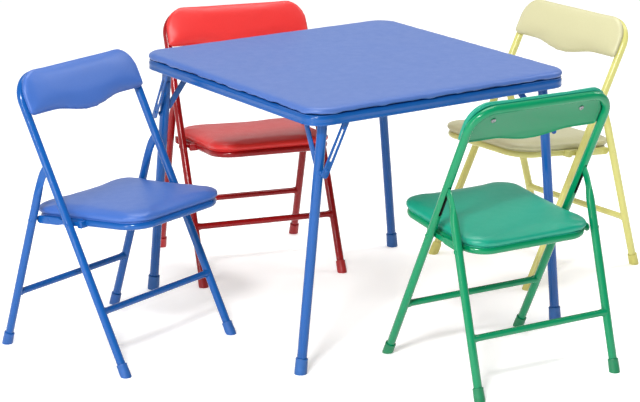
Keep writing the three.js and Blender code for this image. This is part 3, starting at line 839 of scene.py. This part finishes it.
def hoop():
    """The bent tube of legs and back, its front stretcher with weld beads, and the seat's pivot rivets."""
    bend_x, bend_y = HALF - TOP_BEND, TOP_ALONG - TOP_BEND
    straight = (TUBE_FOOT, 200, bend_y - 6)
    line = [(HALF, along) for along in straight]
    line += arc((bend_x, bend_y), TOP_BEND, 0, math.pi / 2, 22)
    line += arc((-bend_x, bend_y), TOP_BEND, math.pi / 2, math.pi, 22)
    line += [(-HALF, along) for along in reversed(straight)]
    tube = sweep([on_back(x, along) for x, along in line], TUBE, BACK_FORE, sides=28)
    bar_along = FRONT_BAR_Z / math.cos(LEAN)
    extras = [stretcher(on_back(-HALF, bar_along), on_back(HALF, bar_along))]
    pivot = np.array([0, SEAT_PIVOT_Y, SEAT_PIVOT_Z])
    for sign in SIDES:
        extras.append(moved(dome(4.6, 2.1), aimed(pivot + (sign * (HALF + TUBE - 0.7), 0, 0), (sign, 0, 0))))
        extras.append(rod(pivot + (sign * HALF, 0, 0), pivot + (sign * (PLATE_X - 2.3), 0, 0), PIN_R))
    return tube, extras


def cut_slots(obj, place):
    """Cuts the rear legs' slots into the back of the hoop; their walls get near-black painted shade for the
    tube's shadowed hollow.
    """
    # The cut walls take the near-black painted shade.
    obj.data.materials.append(PAINTED_SLOT_SHADE)
    outline = stadium(SLOT_LOW + SLOT_HALF, SLOT_HIGH - SLOT_HALF, SLOT_HALF, SLOT_HALF)
    cutters = []
    for sign in SIDES:
        flat = np.column_stack([outline[:, 1] + sign * HALF, outline[:, 0]])[::-1]
        cutters.append(moved(slab(flat, -4, TUBE + 3, 0.1), BACK_PLACE))
    cutter = new_object("slot_cutter", cutters, place)
    cutter.data.materials.append(PAINTED_SLOT_SHADE)
    difference = obj.modifiers.new("slots", "BOOLEAN")
    difference.operation = "DIFFERENCE"
    difference.solver = "EXACT"
    difference.material_mode = "TRANSFER"
    difference.object = cutter
    applied(obj)
    bpy.data.objects.remove(cutter)
    obj.data.set_sharp_from_angle(angle=math.radians(STEEL_EDGE))


# A rear leg's bend starts at the first height and heads for the second before it turns to its slot.
BEND_FROM = 328
BEND_CORNER = 361
# Above FLAT_FROM it flattens to FLAT_HALF across the chair and grows FLAT_WIDER along it.
FLAT_FROM = 318
FLAT_OVER = 24
FLAT_HALF = 2.6
FLAT_WIDER = 0.9
REAR_RIVET_Z = 262


def rear_legs():
    """Rear legs that curve forward and flatten into the hoop's slots, their stretcher and rivets."""
    parts = []
    for sign in SIDES:
        a, b, c = on_rear(sign, BEND_FROM), on_rear(sign, BEND_CORNER), on_back(sign * HALF, JOINT_ALONG)
        curve = [a * (1 - t) ** 2 + 2 * b * t * (1 - t) + c * t ** 2 for t in np.linspace(0, 1, 16)]
        path = [on_rear(sign, z) for z in (TUBE_FOOT, 150, 290, 314)] + curve
        flat = smoothstep((np.array(path)[:, 2] - FLAT_FROM) / FLAT_OVER)
        sizes = np.column_stack([TUBE + (FLAT_HALF - TUBE) * flat, TUBE + FLAT_WIDER * flat])
        sizes[-1] = (2.5, 7.0)
        parts.append(sweep(path, sizes, (1, 0, 0), sides=28))
    parts.append(stretcher(on_rear(-1, REAR_BAR_Z), on_rear(1, REAR_BAR_Z)))
    for sign in SIDES:
        side = on_rear(sign, REAR_RIVET_Z) + (sign * (TUBE - 0.6), 0, 0)
        parts.append(moved(dome(4.4, 2.0), aimed(side, (sign, 0, 0))))
    return parts


# The seat about its pivot: its tilt, and its outline at the ring's centre line.
SEAT_TILT = math.atan(0.085)
SEAT_FRONT = 142
SEAT_REAR = -110
SEAT_FRONT_HALF = 122
SEAT_REAR_HALF = 131.5
SEAT_MEAN_HALF = 126
SEAT_FRONT_CORNER = 46
SEAT_REAR_CORNER = 42
RING_R = 7
PAD_LOW = 7.3
PAD_THICK = 20.5


def seat_outline(grow, step=3.0, pull=0.0):
    """The seat's outline about its pivot, grown from the tube's centre line; pull draws its sides in."""
    front, rear = SEAT_FRONT + grow, SEAT_REAR - grow
    wide, narrow = SEAT_REAR_HALF + grow, SEAT_FRONT_HALF + grow
    near, far = SEAT_REAR_CORNER + grow, SEAT_FRONT_CORNER + grow
    points = rounded([(wide, rear, near), (narrow, front, far),
                      (-narrow, front, far), (-wide, rear, near)], step)
    if pull:
        middle_y = (front + rear) / 2
        dy = (points[:, 1] - middle_y) / (front - middle_y)
        dx = points[:, 0] / (SEAT_MEAN_HALF + grow)
        ease_x = np.clip(1 - dx ** 2 * 1.5, 0, 1) * (np.abs(dy) > 0.6) * np.sign(dy)
        ease_y = np.clip(1 - dy ** 2 * 1.5, 0, 1) * (np.abs(dx) > 0.6) * np.sign(dx)
        points = points - pull * np.column_stack([ease_y, ease_x])
    return points


def seat_steel():
    """The seat's ring of tube, its side plates, pivot lugs, bosses and rivets."""
    parts = [sweep(level(seat_outline(0, 5), 0), RING_R, (0, 0, 1), closed=True, sides=24)]
    # The side plate, narrow at the pivot and wide where it reaches the rear leg; x runs forward, y up.
    shape = rounded([(22, -4, 3), (22, 4, 3), (-27, 4.4, 4), (-38, 7.4, 7), (-91, 8.2, 7.5),
                     (-91, -7.2, 7.5), (-38, -6.6, 7), (-27, -4.4, 4)], 1.5)
    lug = rounded([(24, -7.5, 2), (24, 6.5, 2), (13, 6.5, 2), (13, -7.5, 2)], 1.5)
    for sign in SIDES:
        turn = basis((sign * PLATE_X, 0, 0), (0, 1, 0), (0, 0, 1), (1, 0, 0))
        parts.append(moved(slab(shape, *sorted((0, sign * PLATE_THICK)), 0.6), turn))
        parts.append(moved(slab(lug, *sorted((sign * LUG_OUT, -sign * LUG_IN)), 1.2), turn))
        for y in (-70, 18):
            parts.append(rod((sign * BOSS_FROM, y, 0), (sign * BOSS_TO, y, 0), 5))
        for y in (-76, -60):
            parts.append(moved(dome(3.4, 0.9), aimed((sign * (PLATE_X + 2.9), y, 0), (sign, 0, 0))))
    return parts


def fitted(points, outline, low, high):
    """Points stretched so that their box is the outline's from low to high."""
    least, most = points.min(0), points.max(0)
    corner, far = np.array([*outline.min(0), low]), np.array([*outline.max(0), high])
    return (points - least) / (most - least) * (far - corner) + corner


def crowned(outline, rim, crown, centre, half):
    """A closed pad from (inset, z) pairs: rim rings keep the outline's distance, and crown rings
    are the outline shrunk towards centre, which is half away from its edges."""
    rings = [level(grown(outline, -inset), z) for inset, z in rim]
    centre, half = np.array(centre, float), np.array(half, float)
    rings += [level(centre + (outline - centre) * (1 - inset / half), z) for inset, z in crown]
    return skin(rings)


def bending(outline, reach):
    """How sharply an outline turns at each point, seen from reach points to either side."""
    normals = outward(outline)
    return np.abs(np.roll(normals, -reach, 0) - np.roll(normals, reach, 0)).sum(1)


def seat_cushion_shape():
    """The seat cushion, crowned by its stuffing and flat where it lies on its board."""
    outline = seat_outline(4.4, 4, pull=3.5)
    rim = [(6.5, 0), (3.6, 1.4), (1.0, 4.0), (0, 7.0), (0.3, 10.2), (1.8, 13.2), (4.8, 15.6), (9.5, 17.2)]
    crown = [(20, 18.2), (32, 18.8), (50, 19.3), (75, 19.7), (100, 19.8)]
    blank = crowned(outline, [(i, PAD_LOW + z) for i, z in rim], [(i, PAD_LOW + z) for i, z in crown],
                    centre=(0, 16), half=(136, 131))
    points, faces = stuffed("seat_blank", blank, voxel=5, limit=2.4, pinned=lambda p: p[:, 2] < PAD_LOW + 0.8)
    return fitted(points, seat_outline(6.6), PAD_LOW, PAD_LOW + PAD_THICK), faces


def seat_welt():
    """The rolled hem under the cushion, gathered at its corners."""
    count = 640
    outline = even(seat_outline(2.4, 2, pull=2.0), count)
    gather = 0.28 * np.clip(bending(outline, 6) * 3.5, 0, 1) * np.sin(np.arange(count) * TAU / 4)
    size = np.column_stack([1.5 + gather * 0.5, 2.3 + gather])
    return sweep(level(outline, PAD_LOW - 0.1), size, (0, 0, 1), closed=True, sides=12)


def seat_board():
    """The hardboard inside the ring."""
    return slab(seat_outline(-8.5, 5), 2.6, 6.9, 0.5)


def seat_screws():
    """Screws under the board, heads down."""
    spots = [(78, 96), (-78, 96), (84, -70), (-84, -70)]
    return [moved(screw_head(4.4, 1.8), aimed((x, y, 2.7), (0, 0, -1))) for x, y in spots]


# The backrest's cushion and its steel panel, in the back frame's plane.
BACK_HALF = 156
BACK_TOP = 597.5
BACK_DIP = 13.5
BACK_LOW = 514
BACK_PAD_SPAN = (8.5, 25.3)
PANEL_HALF = 145.6
PANEL_TOP = 582.6
PANEL_DIP = 11.5
PANEL_LOW = 516.5
# The lower edge's dip is full up to the first share of the half width and gone after the sum of both.
DIP_FLAT = 0.04
DIP_EASE = 0.56


def dipped(loop, half, low, depth):
    """The outline with its straight lower edge hanging down by depth in the middle."""
    ease = smoothstep((np.abs(loop[:, 0] / half) - DIP_FLAT) / DIP_EASE)
    loop[:, 1] -= depth * (1 - ease) * (loop[:, 1] < low + 4)
    return loop


def back_outline(grow, step=3.0):
    """The backrest's outline, x across and y up the back frame; its lower edge dips in the middle."""
    half, low, top = BACK_HALF + grow, BACK_LOW - grow, BACK_TOP + grow
    loop = rounded([(half, low, 7), (half, top, 46 + grow), (-half, top, 46 + grow), (-half, low, 7)], step)
    return dipped(loop, BACK_HALF, BACK_LOW, BACK_DIP)


def back_cushion_shape():
    """The backrest cushion in the back frame's plane; z is measured towards the sitter."""
    outline = back_outline(-2.5, 3.5)
    rim = [(4.0, 8.6), (1.2, 9.8), (0, 12.2), (0, 14.8), (1.4, 17.6), (4.5, 19.8), (9, 21.4)]
    crown = [(15, 22.4), (22, 23.2), (30, 23.7), (38, 24.0)]
    blank = crowned(outline, rim, crown, centre=(0, 552), half=(156, 48))
    points, faces = stuffed("back_blank", blank, voxel=4.2, limit=3.5, pinned=lambda p: p[:, 2] < 9.4)
    return fitted(points, back_outline(0.4), *BACK_PAD_SPAN), faces


def back_welt():
    """The cover's gathered edge behind the cushion, pleated tightest round the top corners."""
    count = 1100
    outline = even(back_outline(-3.2, 2), count)
    s = np.arange(count) * TAU
    pleat = np.clip(bending(outline, 8) * 4, 0.12, 1) * (0.55 * np.sin(s / 4.4) + 0.25 * np.sin(s / 7.1 + 1))
    size = np.column_stack([2.2 + pleat * 0.35, 2.6 + pleat])
    return sweep(level(outline, 10.2), size, (0, 0, 1), closed=True, sides=12)


def back_panel():
    """The pressed steel panel inside the hoop, turned over round its edge."""
    loop = rounded([(PANEL_HALF, PANEL_LOW, 5), (PANEL_HALF, PANEL_TOP, 38), (-PANEL_HALF, PANEL_TOP, 38),
                    (-PANEL_HALF, PANEL_LOW, 5)], 3)
    loop = dipped(loop, PANEL_HALF, PANEL_LOW, PANEL_DIP)
    profile = [(3.5, 7.7), (0.8, 7.6), (0.0, 6.4), (0.0, 4.8), (0.9, 4.0), (2.2, 4.3), (3.4, 5.6), (5.0, 6.0)]
    return skin([level(grown(loop, -inset), z) for inset, z in profile])


def back_screws():
    """Screws through the panel, heads to the rear."""
    return [moved(screw_head(5.0, 1.9), aimed((x, 560, 5.9), (0, 0, -1), (0.3, 1, 0))) for x in (-98, 98)]


def chair_cap(angle, foot_y, sign):
    """The cap on a chair's foot whose tube leans by angle about x."""
    up = (0, -math.sin(angle), math.cos(angle))
    return foot_cap(10.3, TUBE, 25, basis((sign * HALF, foot_y, 0), (1, 0, 0), (0, up[2], -up[1]), up))


def build_chair(colour, shapes):
    """One chair in its colour; shapes holds the stuffed cushions that all chairs share."""
    place = chair_place(colour)
    back = f"{colour}_chair"
    paint, vinyl, cap = (f"{colour}_{kind}" for kind in ("paint", "vinyl", "cap"))
    tube, extras = hoop()
    main = piece(f"{colour}_hoop", [tube], place, back, paint, [f"{colour}_back_frame"])
    cut_slots(main, place)
    piece(f"{colour}_front_bar", extras, place, back, paint)
    piece(f"{colour}_rear_tubes", rear_legs(), place, f"{colour}_rear_legs", paint, [f"{colour}_rear_frame"])
    for end, angle, foot_y, body in (("front", LEAN, FRONT_FOOT_Y, back),
                                     ("rear", -REAR_LEAN, REAR_FOOT_Y, f"{colour}_rear_legs")):
        caps = [chair_cap(angle, foot_y, sign) for sign in SIDES]
        piece(f"{colour}_{end}_caps", caps, place, body, cap,
              [f"{colour}_foot_{end}_{side}" for side in ("left", "right")])

    seat = f"{colour}_seat"
    seat_place = place @ Matrix.Translation((0, SEAT_PIVOT_Y * MM, SEAT_PIVOT_Z * MM))
    seat_place = seat_place @ Matrix.Rotation(SEAT_TILT, 4, "X")
    piece(f"{colour}_seat_ring", seat_steel(), seat_place, seat, paint, [f"{colour}_seat_frame"])
    cushion = piece(f"{colour}_seat_cushion", [shapes["seat"]], seat_place, seat, vinyl,
                    [f"{colour}_seat_pad"], CUSHION_EDGE)
    piece(f"{colour}_seat_welt", [seat_welt()], seat_place, seat, vinyl)
    piece(f"{colour}_seat_board", [seat_board()], seat_place, seat, "board")
    piece(f"{colour}_seat_screws", seat_screws(), seat_place, seat, "zinc")

    # The back frame's plane, mirrored so that z is measured towards the sitter.
    fore = Matrix.Scale(-1, 4, (0, 0, 1))
    flat = place @ Matrix.Translation((0, FRONT_FOOT_Y * MM, 0)) @ BACK_PLACE.to_3x3().to_4x4() @ fore
    rest = piece(f"{colour}_back_cushion", [shapes["back"]], flat, back, vinyl,
                 [f"{colour}_backrest_pad"], CUSHION_EDGE)
    piece(f"{colour}_back_welt", [back_welt()], flat, back, vinyl)
    piece(f"{colour}_back_plate", [back_panel()], flat, back, paint, [f"{colour}_backrest_panel"])
    piece(f"{colour}_back_screws", back_screws(), flat, back, "zinc")


# ------------------------------------------------------------------ camera, light and floor

CAMERA_AT = (-2.5889, -3.6002, 1.4910)
CAMERA_YAW = math.radians(34.83)
CAMERA_PITCH = math.radians(15.92)
CAMERA_ROLL = math.radians(0.33)
CAMERA_LENS = 129.8
CAMERA_SHIFT = (0.0016, -0.0014)
# The way from the set to the studio's dark screen: to the camera's right and a little towards the camera.
SCREEN_WAY = (0.62, -0.78, 0.0)
FLOOR_HALF = 14000
FLOOR_CORNER = 3000
FLOOR_THICK = 40


def make_camera():
    data = bpy.data.cameras.new("camera")
    data.sensor_width = 36
    data.lens = CAMERA_LENS
    data.shift_x, data.shift_y = CAMERA_SHIFT
    data.clip_end = 60
    camera = bpy.data.objects.new("camera", data)
    bpy.context.scene.collection.objects.link(camera)
    turn = Matrix.Rotation(-CAMERA_YAW, 4, "Z") @ Matrix.Rotation(math.pi / 2 - CAMERA_PITCH, 4, "X")
    camera.matrix_world = Matrix.Translation(CAMERA_AT) @ turn @ Matrix.Rotation(CAMERA_ROLL, 4, "Z")
    bpy.context.scene.camera = camera


def area_light(name, at, target, size, power):
    """A rectangular light at a place in metres, turned to its target."""
    data = bpy.data.lights.new(name, "AREA")
    data.shape = "RECTANGLE"
    data.size, data.size_y = size
    data.energy = power
    light = bpy.data.objects.new(name, data)
    light.matrix_world = aimed(at, Vector(at) - Vector(target))
    bpy.context.scene.collection.objects.link(light)


def ramp(tree, value, low, high, start, end):
    """A smooth step from low to high while value runs from start to end."""
    node = tree.nodes.new("ShaderNodeMapRange")
    node.interpolation_type = "SMOOTHSTEP"
    for key, number in (("From Min", start), ("From Max", end), ("To Min", low), ("To Max", high)):
        node.inputs[key].default_value = number
    tree.links.new(value, node.inputs["Value"])
    return node.outputs["Result"]


def shade_sky(tree):
    """A pale studio: bright walls with a dark screen on the right, and a dimmer ceiling."""
    background = tree.nodes["Background"]
    background.inputs["Color"].default_value = (1, 1, 1, 1)
    way = tree.nodes.new("ShaderNodeTexCoord").outputs["Generated"]
    split = tree.nodes.new("ShaderNodeSeparateXYZ")
    tree.links.new(way, split.inputs["Vector"])
    ceiling = ramp(tree, split.outputs["Z"], 1.0, 0.4, 0.24, 0.46)
    facing = tree.nodes.new("ShaderNodeVectorMath")
    facing.operation = "DOT_PRODUCT"
    facing.inputs[1].default_value = SCREEN_WAY
    tree.links.new(way, facing.inputs[0])
    screen = ramp(tree, facing.outputs["Value"], 0.95, 0.36, 0.0, 0.7)
    both = tree.nodes.new("ShaderNodeMath")
    both.operation = "MULTIPLY"
    tree.links.new(ceiling, both.inputs[0])
    tree.links.new(screen, both.inputs[1])
    tree.links.new(both.outputs["Value"], background.inputs["Strength"])


def make_studio():
    scene = bpy.context.scene
    world = bpy.data.worlds.new("studio")
    scene.world = world
    world.use_nodes = True
    shade_sky(world.node_tree)
    scene.view_settings.view_transform = "Standard"
    area_light("key", (-3.0, -2.6, 3.3), (0, 0, 0.3), (0.8, 0.5), 165)
    area_light("strip", (-4.2, -1.6, 1.5), (0, 0, 0.4), (0.35, 2.2), 60)
    area_light("rim", (3.0, -0.5, 2.8), (0.4, 0, 0.3), (1.2, 1.2), 38)
    area_light("overhead", (0.4, 0.6, 3.6), (0, 0, 0.3), (2.4, 2.4), 90)
    ground = slab(square(FLOOR_HALF, FLOOR_CORNER, 900), -FLOOR_THICK, 0, 2)
    floor = new_object("floor", [ground], Matrix.Identity(4))
    s = Shader("pale_floor")
    tone = s.blend(s.noise(3, 4), *(linear(white) for white in FLOOR_WHITES))
    normal = s.bump(s.noise(250), 0.0001)
    # It glows a little, so that it comes out as white as the photo's cut-out ground.
    white = s.finish(tone, s.spread(s.noise(40), 0.6, 0.75), normal,
                     Emission_Strength=0.3, Emission_Color=(1, 1, 1, 1))
    floor.data.materials.append(white)


make_camera()
make_studio()
build_table()
cushions = {"seat": seat_cushion_shape(), "back": back_cushion_shape()}
for colour in ("blue", "red", "green", "yellow"):
    build_chair(colour, cushions)
